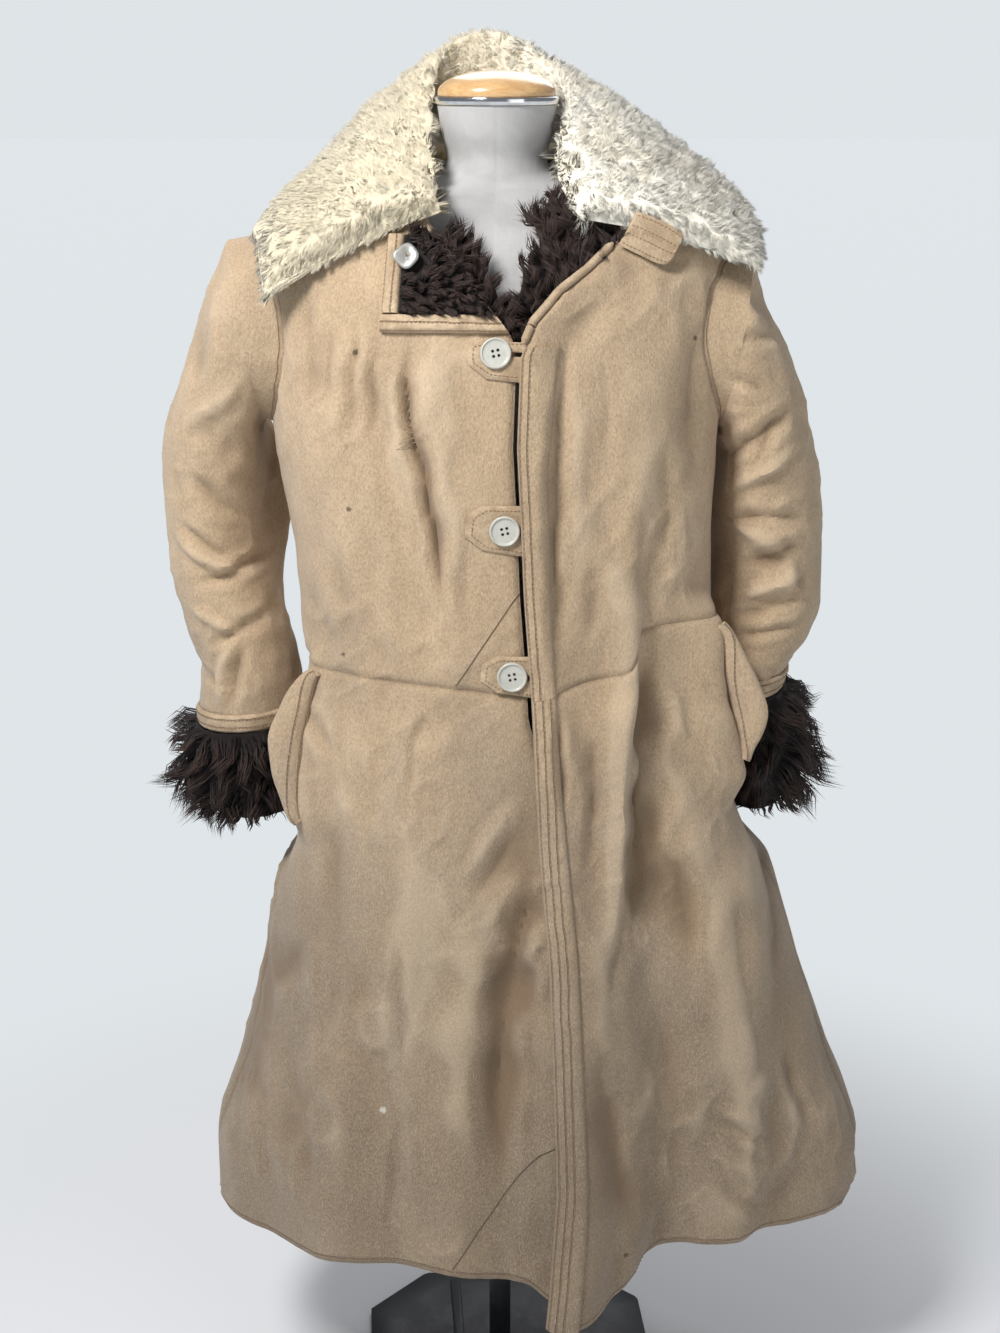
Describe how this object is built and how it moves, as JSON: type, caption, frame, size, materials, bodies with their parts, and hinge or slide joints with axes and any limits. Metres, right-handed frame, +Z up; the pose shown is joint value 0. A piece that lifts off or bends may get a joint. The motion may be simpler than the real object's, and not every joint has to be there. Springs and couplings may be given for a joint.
{
  "type": "shearling coat on dress form",
  "caption": "Long flared shearling coat in tan suede with a broad curly fur collar, dark fur cuffs and buttoned loop tabs, on a limbless linen dress form with a flat stand",
  "frame": {"origin": "on the floor, under the pole, on the underside of the base plate", "axes": "+Z up; the coat's front faces -Y; the wearer's left is +X"},
  "size_m": [0.7843, 0.473, 1.5217],
  "materials": {
    "suede": "matt brushed suede, tan, worn darker in the folds",
    "binding": "matt suede strip, paler tan, topstitched",
    "cream_fur": "curly cream sheep's wool",
    "dark_fur": "long shaggy dark brown sheep's wool",
    "ivory": "satin ivory",
    "linen": "plain woven off-white cover",
    "chrome": "polished",
    "wood": "clear varnished beech",
    "black_steel": "satin black powder coat"
  },
  "bodies": {
    "root": {"front_right": "suede", "front_left": "suede", "back": "suede", "skirt_front_right": "suede", "skirt_front_left": "suede", "skirt_back": "suede", "sleeve_right": "suede", "sleeve_left": "suede", "welt_right": "suede", "welt_left": "suede", "placket_bodice": "suede", "placket_skirt": "suede", "cuff_band_right": "binding", "cuff_band_left": "binding", "lapel_band_front": "binding", "lapel_band_neck": "binding", "neckline_piping": "binding", "tab_1": "binding", "tab_2": "binding", "tab_3": "binding", "tab_collar": "binding", "collar": "cream_fur", "cuff_right": "dark_fur", "cuff_left": "dark_fur", "lapel_fur": "dark_fur", "neck_fur_right": "dark_fur", "neck_fur_left": "dark_fur", "button_1": "ivory", "button_2": "ivory", "button_3": "ivory", "backing_disc": "ivory", "form_torso": "linen", "form_ring": "chrome", "form_cap": "wood", "form_pole": "black_steel", "base_plate": "black_steel", "base_bar": "black_steel"}
  },
  "joints": []
}
